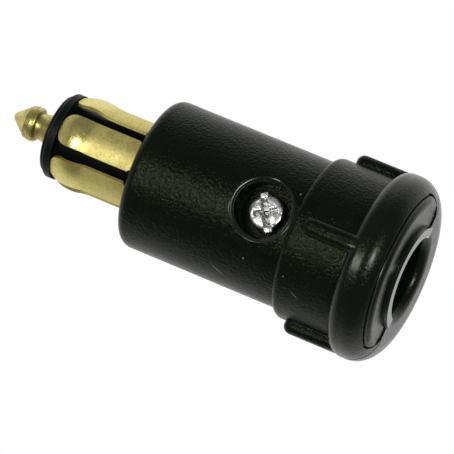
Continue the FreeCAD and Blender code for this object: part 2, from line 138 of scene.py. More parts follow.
class PlugScrew(bpy.types.PropertyGroup):
    """Sizes of the housing screw."""

    head_height: length_property("Head height", "Height of the head", 0.0016)
    head_radius: length_property("Head radius", "Radius of the head", 0.0022)
    shank_radius: length_property("Shank radius", "Radius over the thread's crests", 0.0014)
    thread_depth: length_property("Thread depth", "Depth of the thread", 0.00024)
    thread_pitch: length_property("Thread pitch", "Advance of the thread in one turn", 0.0009)
    slot_width: length_property("Slot width", "Width of the slot", 0.001)
    slot_depth: length_property("Slot depth", "Depth of the slot", 0.0007)
    wall_slope: length_property(
        "Wall slope", "How far the walls of slot and cross lean in", 0.00012
    )
    cross_width: length_property("Cross width", "Width of the arms across the slot", 0.0008)
    ear_reach: length_property(
        "Ear reach", "How far the lip at each end of the slot stands out", 0.0004
    )
    slot_turn: angle_property(
        "Slot turn", "Turn of the slot, from square to the plug's length", 30.0
    )


class PlugStage(bpy.types.PropertyGroup):
    """Where the camera stands and how bright the stage is."""

    azimuth: angle_property(
        "Azimuth", "Turn of the camera about the plug, from the screw's side", -5.963
    )
    elevation: angle_property(
        "Elevation", "Height of the camera, below the base where negative", -16.253
    )
    roll: angle_property("Roll", "Turn of the picture about the line of sight", -67.468)
    distance: length_property(
        "Distance", "Distance from the camera to the point it looks at", 0.6
    )
    aim: bpy.props.FloatVectorProperty(
        name="Aim",
        description="Point that the camera looks at",
        subtype="XYZ",
        unit="LENGTH",
        default=(-0.00278, 0.00029, 0.02476),
    )
    lens: bpy.props.FloatProperty(
        name="Lens",
        description="Focal length on a sensor 36 mm wide",
        subtype="DISTANCE_CAMERA",
        default=377.29,
    )
    key_power: power_property("Key light", "Power of the main lamp", 0.8)
    fill_power: power_property("Fill light", "Power of the second lamp", 0.9)
    floor_colour: colour_property("Floor colour", "Colour of the floor", (0.86, 0.86, 0.86))


def node(tree, kind, **values):
    """A new node with its plain properties set."""
    made = tree.nodes.new(kind)
    for key, value in values.items():
        setattr(made, key, value)
    return made


def math_node(tree, operation, first, second):
    """An operation on two values, each a socket or a number."""
    made = node(tree, "ShaderNodeMath", operation=operation)
    for value, socket in ((first, made.inputs[0]), (second, made.inputs[1])):
        if isinstance(value, bpy.types.NodeSocket):
            tree.links.new(value, socket)
        else:
            socket.default_value = value
    return made.outputs[0]


def ranged(tree, value, span, to):
    """A value mapped from one span to another."""
    made = node(tree, "ShaderNodeMapRange")
    for key, number in zip(("From Min", "From Max", "To Min", "To Max"), (*span, *to)):
        made.inputs[key].default_value = number
    tree.links.new(value, made.inputs["Value"])
    return made.outputs["Result"]


def blended(tree, factor, first, second):
    """A colour between two, by a factor; either colour may be a socket."""
    made = node(tree, "ShaderNodeMix", data_type="RGBA")
    colours = [socket for socket in made.inputs if socket.type == "RGBA"]
    for colour, socket in zip((first, second), colours):
        if isinstance(colour, bpy.types.NodeSocket):
            tree.links.new(colour, socket)
        else:
            socket.default_value = (*colour, 1)
    tree.links.new(factor, made.inputs["Factor"])
    return [socket for socket in made.outputs if socket.type == "RGBA"][0]


def bumped(tree, height, distance, strength=1.0):
    """A bump from a height."""
    made = node(tree, "ShaderNodeBump")
    made.inputs["Distance"].default_value = distance
    made.inputs["Strength"].default_value = strength
    tree.links.new(height, made.inputs["Height"])
    return made.outputs["Normal"]


def placed(tree):
    """The place on the piece, and its three coordinates."""
    place = node(tree, "ShaderNodeTexCoord").outputs["Object"]
    parts = node(tree, "ShaderNodeSeparateXYZ")
    tree.links.new(place, parts.inputs[0])
    return place, parts.outputs


def off_middle(tree, value, middle):
    """How far a value is from a middle, on either side."""
    return math_node(tree, "ABSOLUTE", math_node(tree, "SUBTRACT", value, middle), 0.0)


def scaled(colour, factor):
    """A colour made lighter or darker."""
    return tuple(min(1.0, factor * part) for part in colour)


def toned(colour, tone):
    """A colour with each of its parts multiplied by that of a tone."""
    return tuple(part * share for part, share in zip(colour, tone))


def about(mean, spread):
    """The two ends of a spread about a mean."""
    return tuple(mean + part for part in spread)


def new_group(name, inputs, outputs):
    """An empty node group with its sockets, and its two end nodes."""
    group = bpy.data.node_groups.new(name, "ShaderNodeTree")
    for socket, kind in inputs:
        group.interface.new_socket(socket, in_out="INPUT", socket_type=kind)
    for socket in outputs:
        group.interface.new_socket(socket, in_out="OUTPUT", socket_type="NodeSocketFloat")
    return group, node(group, "NodeGroupInput"), node(group, "NodeGroupOutput")


# Detail of the fine and the broad noise, and the roughness of both
GRAIN_DETAIL = 2.0
PATCH_DETAIL = 3.0
NOISE_ROUGHNESS = 0.6


def grain_group():
    """Noise at two scales and a spread of small flecks, for moulded and metal skins."""
    name = "Surface grain"
    if name in bpy.data.node_groups:
        return bpy.data.node_groups[name]
    sizes = ("Grain size", "Patch size", "Fleck size")
    group, given, put = new_group(
        name, [(size, "NodeSocketFloat") for size in sizes], ("Grain", "Patches", "Flecks")
    )
    place = node(group, "ShaderNodeTexCoord")
    kinds = ("ShaderNodeTexNoise", "ShaderNodeTexNoise", "ShaderNodeTexVoronoi")
    textures = [node(group, kind) for kind in kinds]
    for size, texture in zip(sizes, textures):
        group.links.new(place.outputs["Object"], texture.inputs["Vector"])
        scale = math_node(group, "DIVIDE", 1.0, given.outputs[size])
        group.links.new(scale, texture.inputs["Scale"])
    fine, broad, cells = textures
    for noise, detail, out in ((fine, GRAIN_DETAIL, "Grain"), (broad, PATCH_DETAIL, "Patches")):
        noise.inputs["Detail"].default_value = detail
        noise.inputs["Roughness"].default_value = NOISE_ROUGHNESS
        group.links.new(noise.outputs["Fac"], put.inputs[out])
    parts = node(group, "ShaderNodeSeparateColor")
    group.links.new(cells.outputs["Color"], parts.inputs["Color"])
    group.links.new(parts.outputs["Red"], put.inputs["Flecks"])
    return group


# Samples of the rounded normal, and how alike the two normals are on a sound and a worn edge
WEAR_SAMPLES = 6
WEAR_SPAN = (0.99, 0.85)


def wear_group():
    """A mask of rubbed edges: where the normal turns within a short way."""
    name = "Edge wear"
    if name in bpy.data.node_groups:
        return bpy.data.node_groups[name]
    group, given, put = new_group(name, [("Width", "NodeSocketFloat")], ("Worn",))
    rounded = node(group, "ShaderNodeBevel", samples=WEAR_SAMPLES)
    group.links.new(given.outputs["Width"], rounded.inputs["Radius"])
    surface = node(group, "ShaderNodeNewGeometry")
    alike = node(group, "ShaderNodeVectorMath", operation="DOT_PRODUCT")
    group.links.new(rounded.outputs["Normal"], alike.inputs[0])
    group.links.new(surface.outputs["Normal"], alike.inputs[1])
    worn = ranged(group, alike.outputs["Value"], WEAR_SPAN, (0.0, 1.0))
    group.links.new(worn, put.inputs["Worn"])
    return group


# Share of a mark's half size at which it starts to fade
MARK_CORE = 0.4


def mark_group():
    """A mask of one small mark, round or long, at a place on the surface."""
    name = "Mark"
    if name in bpy.data.node_groups:
        return bpy.data.node_groups[name]
    sockets = [(socket, "NodeSocketVector") for socket in ("Place", "Turn", "Size")]
    group, given, put = new_group(name, sockets, ("Mask",))
    place = node(group, "ShaderNodeTexCoord")
    local = node(group, "ShaderNodeMapping", vector_type="TEXTURE")
    group.links.new(place.outputs["Object"], local.inputs["Vector"])
    for socket, to in (("Place", "Location"), ("Turn", "Rotation"), ("Size", "Scale")):
        group.links.new(given.outputs[socket], local.inputs[to])
    reach = node(group, "ShaderNodeVectorMath", operation="LENGTH")
    group.links.new(local.outputs["Vector"], reach.inputs[0])
    mask = ranged(group, reach.outputs["Value"], (MARK_CORE, 1.0), (1.0, 0.0))
    group.links.new(mask, put.inputs["Mask"])
    return group


def add_group(tree, group, **values):
    """A node group placed in a material, its inputs given by names with underscores."""
    made = node(tree, "ShaderNodeGroup")
    made.node_tree = group
    for key, value in values.items():
        made.inputs[key.replace("_", " ")].default_value = value
    return made.outputs


def new_finish(name, wear_width, **grain_sizes):
    """A new material with its tree, its shader, its grain and its mask of worn edges."""
    material = bpy.data.materials.new(name)
    material.use_nodes = True
    tree = material.node_tree
    grain = add_group(tree, grain_group(), **grain_sizes)
    worn = add_group(tree, wear_group(), Width=wear_width)["Worn"]
    return material, tree, tree.nodes["Principled BSDF"], grain, worn


# Spans that noise is read over: the narrower, the harder the edges of its patches
WIDE_SPAN = (0.3, 0.7)
MIDDLE_SPAN = (0.35, 0.65)
NARROW_SPAN = (0.38, 0.62)

# Heights above the cable end where the rubbing of the cord's rim and of the bead begins to fade
# and where it is gone, in metres
RIM_FADE = (0.0003, 0.00045)
BEAD_FADE = (0.0058, 0.00638)

# Middle radius of the counterbore's rounded lip, and where its rubbing fades: away from that
# radius, and towards the plane where the housing parts, in metres
LIP_RADIUS = 0.0039
LIP_FADE = (0.00028, 0.00035)
LIP_DEPTH_FADE = (-0.0088, -0.00704)

# How smooth the bead and the lip are rubbed, where the cord's rim is 1
BEAD_GLOSS = 0.28
LIP_GLOSS = 0.8

MM_PER_METRE = 1000

# Small marks on the housing: place, turn in degrees and half sizes, in millimetres
MARKS = (
    ((-6.41, -7.54, 18.92), (0, 0, 0), (0.16, 0.16, 0.16)),
    ((-6.7, -8.47, 13.02), (0, 0, 0), (0.12, 0.12, 0.12)),
    ((3.48, -9.27, 15.03), (0, 0, 0), (0.14, 0.14, 0.14)),
    ((-8.69, -4.73, 22.31), (-52, 0, 28), (0.09, 1.28, 0.09)),
    ((-8.2, -7.04, 11.19), (-52, 0, 41), (0.07, 0.83, 0.07)),
)


def handled(tree):
    """A mask of what is rubbed smooth: the cord's rim, the counterbore's lip, partly the bead."""
    place, parts = placed(tree)
    across = node(tree, "ShaderNodeVectorMath", operation="MULTIPLY_ADD")
    across.inputs[1].default_value = (1, 0, 1)
    across.inputs[2].default_value = (-screw_middle.x, 0, -screw_middle.z)
    tree.links.new(place, across.inputs[0])
    reach = node(tree, "ShaderNodeVectorMath", operation="LENGTH")
    tree.links.new(across.outputs["Vector"], reach.inputs[0])
    away = off_middle(tree, reach.outputs["Value"], LIP_RADIUS)
    ring = ranged(tree, away, LIP_FADE, (LIP_GLOSS, 0.0))
    outside = ranged(tree, parts["Y"], LIP_DEPTH_FADE, (1.0, 0.0))
    lip = math_node(tree, "MULTIPLY", ring, outside)
    rim = ranged(tree, parts["Z"], RIM_FADE, (1.0, 0.0))
    bead = ranged(tree, parts["Z"], BEAD_FADE, (BEAD_GLOSS, 0.0))
    return math_node(tree, "MAXIMUM", math_node(tree, "MAXIMUM", rim, bead), lip)


def all_marks(tree):
    """A mask of every small mark."""
    whole = None
    for place, turn, size in MARKS:
        mark = add_group(
            tree,
            mark_group(),
            Place=Vector(place) / MM_PER_METRE,
            Turn=[math.radians(angle) for angle in turn],
            Size=Vector(size) / MM_PER_METRE,
        )["Mask"]
        whole = mark if whole is None else math_node(tree, "MAXIMUM", whole, mark)
    return whole


# Sheen of both plastics, the yellow tint of the housing's sheen, which stands in for warm lamp
# light, and the roughness of its rubbed coat
PLASTIC_SPECULAR = 0.12
WARM_LIGHT_TINT = (1.0, 1.0, 0.65, 1)
COAT_ROUGHNESS = 0.21

# The housing's dark and light patches as shares of its colour, and the strength of its edge wear
HOUSING_TONES = (0.7, 1.3)
HOUSING_WEAR = 0.5

# Spread of the housing's roughness about its mean, and how much rubbing takes off it
HOUSING_SPREAD = (-0.05, 0.05)
HOUSING_RUBBED = 0.12


def housing_plastic(look):
    """Moulded skin: grained, smooth where it is handled, with rubbed edges and small marks."""
    material, tree, shader, grain, worn = new_finish(
        "Housing plastic", look.wear_width, Grain_size=look.grain_size, Patch_size=0.005
    )
    patches, smooth, marked = grain["Patches"], handled(tree), all_marks(tree)
    dark, light = (scaled(look.plastic_colour, share) for share in HOUSING_TONES)
    skin = blended(tree, patches, dark, light)
    wear = math_node(tree, "MULTIPLY", worn, HOUSING_WEAR)
    rubbed = blended(tree, wear, skin, look.worn_colour)
    tree.links.new(blended(tree, marked, rubbed, look.mark_colour), shader.inputs["Base Color"])
    even = ranged(tree, patches, WIDE_SPAN, about(look.plastic_roughness, HOUSING_SPREAD))
    touched = math_node(tree, "MAXIMUM", worn, smooth)
    bright = math_node(tree, "MULTIPLY", touched, HOUSING_RUBBED)
    tree.links.new(math_node(tree, "SUBTRACT", even, bright), shader.inputs["Roughness"])
    grained = math_node(tree, "SUBTRACT", 1.0, smooth)
    pits = math_node(tree, "MULTIPLY", grain["Grain"], grained)
    height = math_node(tree, "SUBTRACT", pits, marked)
    tree.links.new(bumped(tree, height, look.grain_depth), shader.inputs["Normal"])
    tree.links.new(smooth, shader.inputs["Coat Weight"])
    shader.inputs["Coat Roughness"].default_value = COAT_ROUGHNESS
    shader.inputs["Specular IOR Level"].default_value = PLASTIC_SPECULAR
    # Painted light: the housing's reflections are tinted yellow in place of a warm lamp
    shader.inputs["Specular Tint"].default_value = WARM_LIGHT_TINT
    return material


# The nose's dark and light patches and its pale edges, as shares of the plastic's colour
NOSE_TONES = (0.7, 1.2)
NOSE_EDGE = 6

# Least and greatest roughness of the nose, and the strength of its grain
NOSE_ROUGHNESS = (0.36, 0.52)
NOSE_GRAIN = 0.35


def nose_plastic(look):
    """The nose's duller skin, with a fainter grain and pale edges."""
    material, tree, shader, grain, worn = new_finish(
        "Nose plastic", look.wear_width, Grain_size=look.grain_size, Patch_size=0.002
    )
    colour, patches = look.plastic_colour, grain["Patches"]
    dark, light = (scaled(colour, share) for share in NOSE_TONES)
    skin = blended(tree, patches, dark, light)
    edged = blended(tree, worn, skin, scaled(colour, NOSE_EDGE))
    tree.links.new(edged, shader.inputs["Base Color"])
    tree.links.new(ranged(tree, patches, WIDE_SPAN, NOSE_ROUGHNESS), shader.inputs["Roughness"])
    normal = bumped(tree, grain["Grain"], look.grain_depth, NOSE_GRAIN)
    tree.links.new(normal, shader.inputs["Normal"])
    shader.inputs["Specular IOR Level"].default_value = PLASTIC_SPECULAR
    return material


# Height of the leaves' bulge above the cable end, and how far from it the rubbing begins to fade
# and where it is gone, in metres
BULGE_PLACE = 0.0458
BULGE_FADE = (0.0011, 0.0022)


def burnished(tree):
    """A mask of the band round the sleeve where the socket's wall rubs the leaves."""
    _, parts = placed(tree)
    return ranged(tree, off_middle(tree, parts["Z"], BULGE_PLACE), BULGE_FADE, (1.0, 0.0))


# The sheet's dull patches and sheared edges as shares of the brass colour
SHEET_DULL = 0.9
SHEET_EDGE = 1.12

# Tone of the sheet's dark flecks, which of the cells are flecks and how strong they get
FLECK_TONE = (0.55, 0.495, 0.4125)
FLECK_SPAN = (0.7, 0.98)
FLECK_STRENGTH = 0.45

# Height of the sheet's skin in metres, the flecks' share in it, and what burnishing leaves of it
SHEET_BUMP = 0.00003
SHEET_FLECKS = 0.35
BURNISHED_BUMP = 0.35

# Spread of the sheet's roughness about its mean, and how much burnishing takes off it
SHEET_SPREAD = (-0.05, 0.06)
BURNISHED_GLOSS = 0.22


def stamped_brass(look):
    """Rolled sheet: flecked, with dull patches, bright sheared edges and a burnished band."""
    material, tree, shader, grain, worn = new_finish(
        "Stamped brass",
        look.wear_width,
        Grain_size=0.00035,
        Patch_size=0.0022,
        Fleck_size=0.0002,
    )
    colour, patches, flecks = look.brass_colour, grain["Patches"], grain["Flecks"]
    clean = ranged(tree, patches, WIDE_SPAN, (0.0, 1.0))
    patched = blended(tree, clean, scaled(colour, SHEET_DULL), colour)
    spots = ranged(tree, flecks, FLECK_SPAN, (0.0, FLECK_STRENGTH))
    flecked = blended(tree, spots, patched, toned(colour, FLECK_TONE))
    edged = blended(tree, worn, flecked, scaled(colour, SHEET_EDGE))
    tree.links.new(edged, shader.inputs["Base Color"])
    even = ranged(tree, patches, WIDE_SPAN, about(look.brass_roughness, SHEET_SPREAD))
    rubbed = burnished(tree)
    bright = math_node(tree, "MULTIPLY", rubbed, BURNISHED_GLOSS)
    tree.links.new(math_node(tree, "SUBTRACT", even, bright), shader.inputs["Roughness"])
    specks = math_node(tree, "MULTIPLY", flecks, SHEET_FLECKS)
    rolled = math_node(tree, "ADD", grain["Grain"], specks)
    left = ranged(tree, rubbed, (0.0, 1.0), (1.0, BURNISHED_BUMP))
    height = math_node(tree, "MULTIPLY", rolled, left)
    tree.links.new(bumped(tree, height, SHEET_BUMP), shader.inputs["Normal"])
    shader.inputs["Metallic"].default_value = 1.0
    return material


# The pin's share of the brass colour, and its edges and the tone of its stains as shares of that
PIN_SHARE = 0.8
PIN_EDGE = 1.15
STAIN_TONE = (0.62, 0.5456, 0.434)

# How much smoother than the brass's mean the pin's rougher and smoother patches are
PIN_SPREAD = (-0.04, -0.2)

# Scale and waviness of the turning rings, their share in the skin, and its height in metres
RING_SCALE = 1400.0
RING_WAVE = 0.6
RING_SHARE = 0.4
PIN_BUMP = 0.000018


def turned_brass(look):
    """Turned bar: fine rings about the plug's axis over a stained skin."""
    material, tree, shader, grain, worn = new_finish(
        "Turned brass", look.wear_width, Grain_size=0.0006, Patch_size=0.0014
    )
    colour, patches = scaled(look.brass_colour, PIN_SHARE), grain["Patches"]
    clean = ranged(tree, patches, NARROW_SPAN, (0.0, 1.0))
    stained = blended(tree, clean, toned(colour, STAIN_TONE), colour)
    edged = blended(tree, worn, stained, scaled(colour, PIN_EDGE))
    tree.links.new(edged, shader.inputs["Base Color"])
    rough = ranged(tree, patches, WIDE_SPAN, about(look.brass_roughness, PIN_SPREAD))
    tree.links.new(rough, shader.inputs["Roughness"])
    rings = node(tree, "ShaderNodeTexWave", wave_type="BANDS", bands_direction="Z")
    rings.inputs["Scale"].default_value = RING_SCALE
    rings.inputs["Distortion"].default_value = RING_WAVE
    place = node(tree, "ShaderNodeTexCoord")
    tree.links.new(place.outputs["Object"], rings.inputs["Vector"])
    cut = math_node(tree, "MULTIPLY", rings.outputs["Fac"], RING_SHARE)
    height = math_node(tree, "ADD", grain["Grain"], cut)
    tree.links.new(bumped(tree, height, PIN_BUMP), shader.inputs["Normal"])
    shader.inputs["Metallic"].default_value = 1.0
    return material


# Depths below the top of the housing screw over which painted shade sets in and fades out, in
# metres
SHADE_RISE = (0.0003, 0.0007)
SHADE_FADE = (0.0016, 0.00192)
SHADE_STRENGTH = 0.85


def depth_shade(tree):
    """A mask of painted shade, darker with depth below the top of the housing screw: in its
    recess and on the lower part of its head.
    """
    _, parts = placed(tree)
    depth = math_node(tree, "SUBTRACT", parts["Y"], screw_low.y)
    below = ranged(tree, depth, SHADE_RISE, (0.0, SHADE_STRENGTH))
    above = ranged(tree, depth, SHADE_FADE, (1.0, 0.0))
    return math_node(tree, "MULTIPLY", below, above)


# The zinc's scuffed places and its painted shade at depth, as shares of its colour
ZINC_SCUFFED = 0.75
ZINC_SHADED = 0.25

# Colour of the zinc's bare edges and their width in metres
ZINC_EDGE = (0.95, 0.95, 0.93)
ZINC_WEAR = 0.00006

# Roughness of the zinc's dull and bright patches, height of its skin in metres, flecks' share
ZINC_ROUGHNESS = (0.42, 0.26)
ZINC_BUMP = 0.00012
ZINC_FLECKS = 0.5


def zinc_plate(look):
    """Bright plate, scuffed by the driver, darkened with depth by painted shade in the recess."""
    material, tree, shader, grain, worn = new_finish(
        "Zinc plate", ZINC_WEAR, Grain_size=0.0007, Patch_size=0.0006, Fleck_size=0.0004
    )
    colour, patches = look.zinc_colour, grain["Patches"]
    clean = ranged(tree, patches, MIDDLE_SPAN, (0.0, 1.0))
    scuffed = blended(tree, clean, scaled(colour, ZINC_SCUFFED), colour)
    # Painted shade: the zinc is darkened with depth below the head's top, in the recess and down
    # the head's sides
    shaded = blended(tree, depth_shade(tree), scuffed, scaled(colour, ZINC_SHADED))
    tree.links.new(blended(tree, worn, shaded, ZINC_EDGE), shader.inputs["Base Color"])
    tree.links.new(ranged(tree, patches, MIDDLE_SPAN, ZINC_ROUGHNESS), shader.inputs["Roughness"])
    specks = math_node(tree, "MULTIPLY", grain["Flecks"], ZINC_FLECKS)
    height = math_node(tree, "ADD", grain["Grain"], specks)
    tree.links.new(bumped(tree, height, ZINC_BUMP), shader.inputs["Normal"])
    shader.inputs["Metallic"].default_value = 1.0
    return material


def dress(material, *names):
    """Gives CAD nodes a material in place of the plain one."""
    for name in names:
        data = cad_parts[name].data
        data.materials.clear()
        data.materials.append(material)


# Distance in metres within which points count as one
MERGE_DISTANCE = 1e-7


def merge(shape):
    """Joins doubled points, then turns every face outward."""
    bmesh.ops.remove_doubles(shape, verts=shape.verts, dist=MERGE_DISTANCE)
    bmesh.ops.recalc_face_normals(shape, faces=shape.faces)


def ease(shape, edges, width, segments):
    """Rounds edges over by a width."""
    bmesh.ops.bevel(
        shape,
        geom=edges,
        offset=width,
        segments=segments,
        profile=0.5,
        affect="EDGES",
        material=-1,
        clamp_overlap=True,
    )


def drawn_line(shape, points):
    """A line of edges in the plane of X and Z, as its points and its edges."""
    line = [shape.verts.new((radius, 0, height)) for radius, height in points]
    return line, [shape.edges.new(pair) for pair in zip(line, line[1:])]


def turned(points, steps):
    """A closed turned solid about Z from its profile of radius and height."""
    shape = bmesh.new()
    profile, edges = drawn_line(shape, points)
    bmesh.ops.spin(
        shape,
        geom=profile + edges,
        cent=(0, 0, 0),
        axis=(0, 0, 1),
        angle=2 * math.pi,
        steps=steps,
        use_merge=True,
    )
    merge(shape)
    return shape


def drawn_in(value, half, slope):
    """A coordinate moved in by the slope past a half width, and by its share within it."""
    if abs(value) < half:
        return value * (1 - slope / half)
    return value - math.copysign(slope, value)


# Least upward lean of the faces that a recess takes in
UPWARD = 0.02


def sink(shape, inside, floor, halves, slope):
    """Presses the upward faces that a test picks down to a floor, between sloping walls."""
    faces = [
        face
        for face in shape.faces
        if face.normal.z > UPWARD and inside(face.calc_center_median())
    ]
    pressed = bmesh.ops.extrude_face_region(shape, geom=faces)["geom"]
    for point in pressed:
        if isinstance(point, bmesh.types.BMVert):
            point.co.x = drawn_in(point.co.x, halves[0], slope)
            point.co.y = drawn_in(point.co.y, halves[1], slope)
            point.co.z = floor
    left = [face for face in faces if face.is_valid]
    bmesh.ops.delete(shape, geom=left, context="FACES")


def score(shape, axis, reach):
    """Cuts edges into a shape along two planes, square to an axis and a reach from its middle."""
    for side in (-1, 1):
        normal = Vector((0, 0, 0))
        normal[axis] = side
        bmesh.ops.bisect_plane(
            shape,
            geom=shape.verts[:] + shape.edges[:] + shape.faces[:],
            plane_co=normal * reach,
            plane_no=normal,
        )


# Profile of the screw's head from its middle out, as shares of its radius and height
DOME = (
    (0, 1.0),
    (0.5, 0.997),
    (0.78, 0.98),
    (0.91, 0.94),
    (0.97, 0.88),
    (0.995, 0.79),
    (1.0, 0.66),
    (1.0, 0),
    (0, 0),
)
DOME_STEPS = 40

# Reach of the slot and of the cross's arms as shares of the head's radius, how much deeper their
# middle is, as a share of the slot's depth, and how level their floor is taken to be, in metres
SLOT_REACH = 1.02
CROSS_REACH = 0.72
PIT_SHARE = 0.6
FLOOR_TOLERANCE = 1e-5

# Edges of the head that are eased: how sharp and how long at least, and by how much, in metres
SHARP_ANGLE = math.radians(38)
SHORT_EDGE = 0.00004
HEAD_EASE = 0.00004


def screw_head(sizes):
    """A pan head with a slot, a cross and a deeper middle, its edges eased."""
    radius, height, slope = sizes.head_radius, sizes.head_height, sizes.wall_slope
    shape = turned([(radius * out, height * up) for out, up in DOME], DOME_STEPS)
    slot, cross = sizes.slot_width / 2, sizes.cross_width / 2
    slot_end, cross_end = radius * SLOT_REACH, radius * CROSS_REACH
    for axis, reach in ((0, slot_end), (0, cross), (1, slot), (1, cross_end)):
        score(shape, axis, reach)

    def in_recess(at):
        in_slot = abs(at.x) < slot_end and abs(at.y) < slot
        return in_slot or (abs(at.x) < cross and abs(at.y) < cross_end)

    floor = height - sizes.slot_depth
    sink(shape, in_recess, floor, (cross, slot), slope)
    inner = (cross - slope, slot - slope)

    def in_pit(at):
        on_floor = at.z < floor + FLOOR_TOLERANCE
        return abs(at.x) < inner[0] and abs(at.y) < inner[1] and on_floor

    sink(shape, in_pit, floor - sizes.slot_depth * PIT_SHARE, inner, slope)
    merge(shape)
    sharp = [
        edge
        for edge in shape.edges
        if len(edge.link_faces) == 2
        and edge.calc_face_angle() > SHARP_ANGLE
        and edge.calc_length() > SHORT_EDGE
    ]
    ease(shape, sharp, HEAD_EASE, segments=2)
    return shape


# An ear's width as a share of the slot's, its height and the height of its middle as shares of
# the head's, and the rounding of its edges in metres
EAR_WIDTH = 1.12
EAR_HEIGHT = 0.5
EAR_MIDDLE = 0.52
EAR_EASE = 0.00013


def add_ears(shape, sizes):
    """The lips that the cutter raised at both ends of the slot, half sunk in the head."""
    lengths = (
        sizes.ear_reach * 2,
        sizes.slot_width * EAR_WIDTH,
        sizes.head_height * EAR_HEIGHT,
    )
    for side in (-1, 1):
        middle = (side * sizes.head_radius, 0, sizes.head_height * EAR_MIDDLE)
        place = Matrix.Translation(middle) @ Matrix.Diagonal((*lengths, 1))
        made = bmesh.ops.create_cube(shape, size=1, matrix=place)
        edges = {edge for point in made["verts"] for edge in point.link_edges}
        ease(shape, list(edges), EAR_EASE, segments=3)


# Sides of the shank's core, and its radius at the tip as a share of that at the head
CORE_SIDES = 32
CORE_TAPER = 0.9

# Steps in one turn of the thread, the radius of its root as a share of the core's, and where it
# starts above the tip, as a share of its pitch
THREAD_STEPS = 28
ROOT_SHARE = 0.96
THREAD_START = 0.2


def add_shank(shape, sizes):
    """The core of the shank and the thread wound on it, down from the head."""
    length = (screw_high.y - screw_low.y) - sizes.head_height
    root = sizes.shank_radius - sizes.thread_depth
    bmesh.ops.create_cone(
        shape,
        cap_ends=True,
        segments=CORE_SIDES,
        radius1=root * CORE_TAPER,
        radius2=root,
        depth=length,
        matrix=Matrix.Translation((0, 0, -length / 2)),
    )
    pitch = sizes.thread_pitch
    turns = int((length - pitch) / pitch)
    low, sunk = -length + pitch * THREAD_START, root * ROOT_SHARE
    section = ((sunk, low), (sizes.shank_radius, low + pitch * 0.5), (sunk, low + pitch))
    first, edges = drawn_line(shape, section)
    wound = bmesh.ops.spin(
        shape,
        geom=first + edges,
        cent=(0, 0, 0),
        axis=(0, 0, 1),
        dvec=(0, 0, pitch / THREAD_STEPS),
        angle=2 * math.pi * turns,
        steps=THREAD_STEPS * turns,
        use_merge=False,
    )
    last = [item for item in wound["geom_last"] if isinstance(item, bmesh.types.BMVert)]
    shape.faces.new(first)
    shape.faces.new(last)
    merge(shape)
    rims = [edge for edge in shape.edges if edge.is_boundary]
    bmesh.ops.holes_fill(shape, edges=rims, sides=0)


# Edges that are shaded sharp
CREASE_ANGLE = math.radians(32)


def add_piece(name, shape, material, replaced):
    """Puts a finished shape into the scene in place of a CAD node."""
    for face in shape.faces:
        face.smooth = True
    data = bpy.data.meshes.new(name)
    shape.to_mesh(data)
    shape.free()
    data.set_sharp_from_angle(angle=CREASE_ANGLE)
    data.materials.append(material)
    piece = bpy.data.objects.new(name, data)
    bpy.context.scene.collection.objects.link(piece)
    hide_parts(replaced)
    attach(piece, "root")


class PLUG_OT_housing(bpy.types.Operator):
    """Dress the two halves of the housing"""

    bl_idname = "plug.housing"
    bl_label = "Housing halves"

    def execute(self, context):
        dress(housing_plastic(context.scene.plug_finishes), "screw_shell", "boss_shell")
        return {"FINISHED"}


class PLUG_OT_nose(bpy.types.Operator):
    """Dress the insulating nose"""

    bl_idname = "plug.nose"
    bl_label = "Nose"

    def execute(self, context):
        dress(nose_plastic(context.scene.plug_finishes), "nose_insulator")
        return {"FINISHED"}


class PLUG_OT_contacts(bpy.types.Operator):
    """Dress the sleeve and the pin"""

    bl_idname = "plug.contacts"
    bl_label = "Contacts"

    def execute(self, context):
        look = context.scene.plug_finishes
        dress(stamped_brass(look), "sleeve_contact")
        dress(turned_brass(look), "centre_pin")
        return {"FINISHED"}


class PLUG_OT_screws(bpy.types.Operator):
    """Make the housing screw and dress the two that clamp the wires"""

    bl_idname = "plug.screws"
    bl_label = "Screws"

    def execute(self, context):
        zinc = zinc_plate(context.scene.plug_finishes)
        dress(zinc, "pin_terminal_screw", "sleeve_terminal_screw")
        sizes = context.scene.plug_screw
        shape = screw_head(sizes)
        add_ears(shape, sizes)
        add_shank(shape, sizes)
        merge(shape)
        seat = Vector((screw_middle.x, screw_low.y + sizes.head_height, screw_middle.z))
        upright = Matrix.Rotation(math.radians(90), 4, "X")
        laid = upright @ Matrix.Rotation(sizes.slot_turn, 4, "Z")
        bmesh.ops.transform(shape, matrix=Matrix.Translation(seat) @ laid, verts=shape.verts)
        add_piece("housing_screw_detail", shape, zinc, "housing_screw")
        return {"FINISHED"}


def towards(azimuth, elevation):
    """The unit vector from the plug to a place at these angles."""
    level = math.cos(elevation)
    return Vector((math.sin(azimuth) * level, -math.cos(azimuth) * level, math.sin(elevation)))


# Width of the camera's sensor in millimetres, and how near it sees, in metres
SENSOR_WIDTH = 36
CLIP_START = 0.01


def add_camera(stage):
    """Sets the camera up, and gives the picture's right and up and the way back to the camera."""
    back = towards(stage.azimuth, stage.elevation)
    level_right = Vector((0, 0, 1)).cross(back).normalized()
    level_up = back.cross(level_right)
    right = math.cos(stage.roll) * level_right + math.sin(stage.roll) * level_up
    up = back.cross(right)
    camera = bpy.data.objects.new("Camera", bpy.data.cameras.new("Camera"))
    camera.data.lens = stage.lens
    camera.data.sensor_width = SENSOR_WIDTH
    camera.data.clip_start = CLIP_START
    place = Matrix((right, up, back)).transposed().to_4x4()
    place.translation = Vector(stage.aim) + back * stage.distance
    camera.matrix_world = place
    bpy.context.scene.collection.objects.link(camera)
    bpy.context.scene.camera = camera
    return right, up, back


# Brightness that shiny pieces see, from straight behind the plug (0) to the camera (1)
ROOM_STOPS = (
    (0.03, 0.95),
    (0.18, 1.0),
    (0.31, 0.95),
    (0.43, 0.72),
    (0.54, 0.34),
    (0.65, 0.19),
    (1.0, 0.16),
)

# Share of that brightness below and above the plug, and the grey that lights dull pieces
ROOM_BELOW_ABOVE = (0.85, 1.15)
ROOM_GREY = (0.5, 0.5, 0.5, 1)


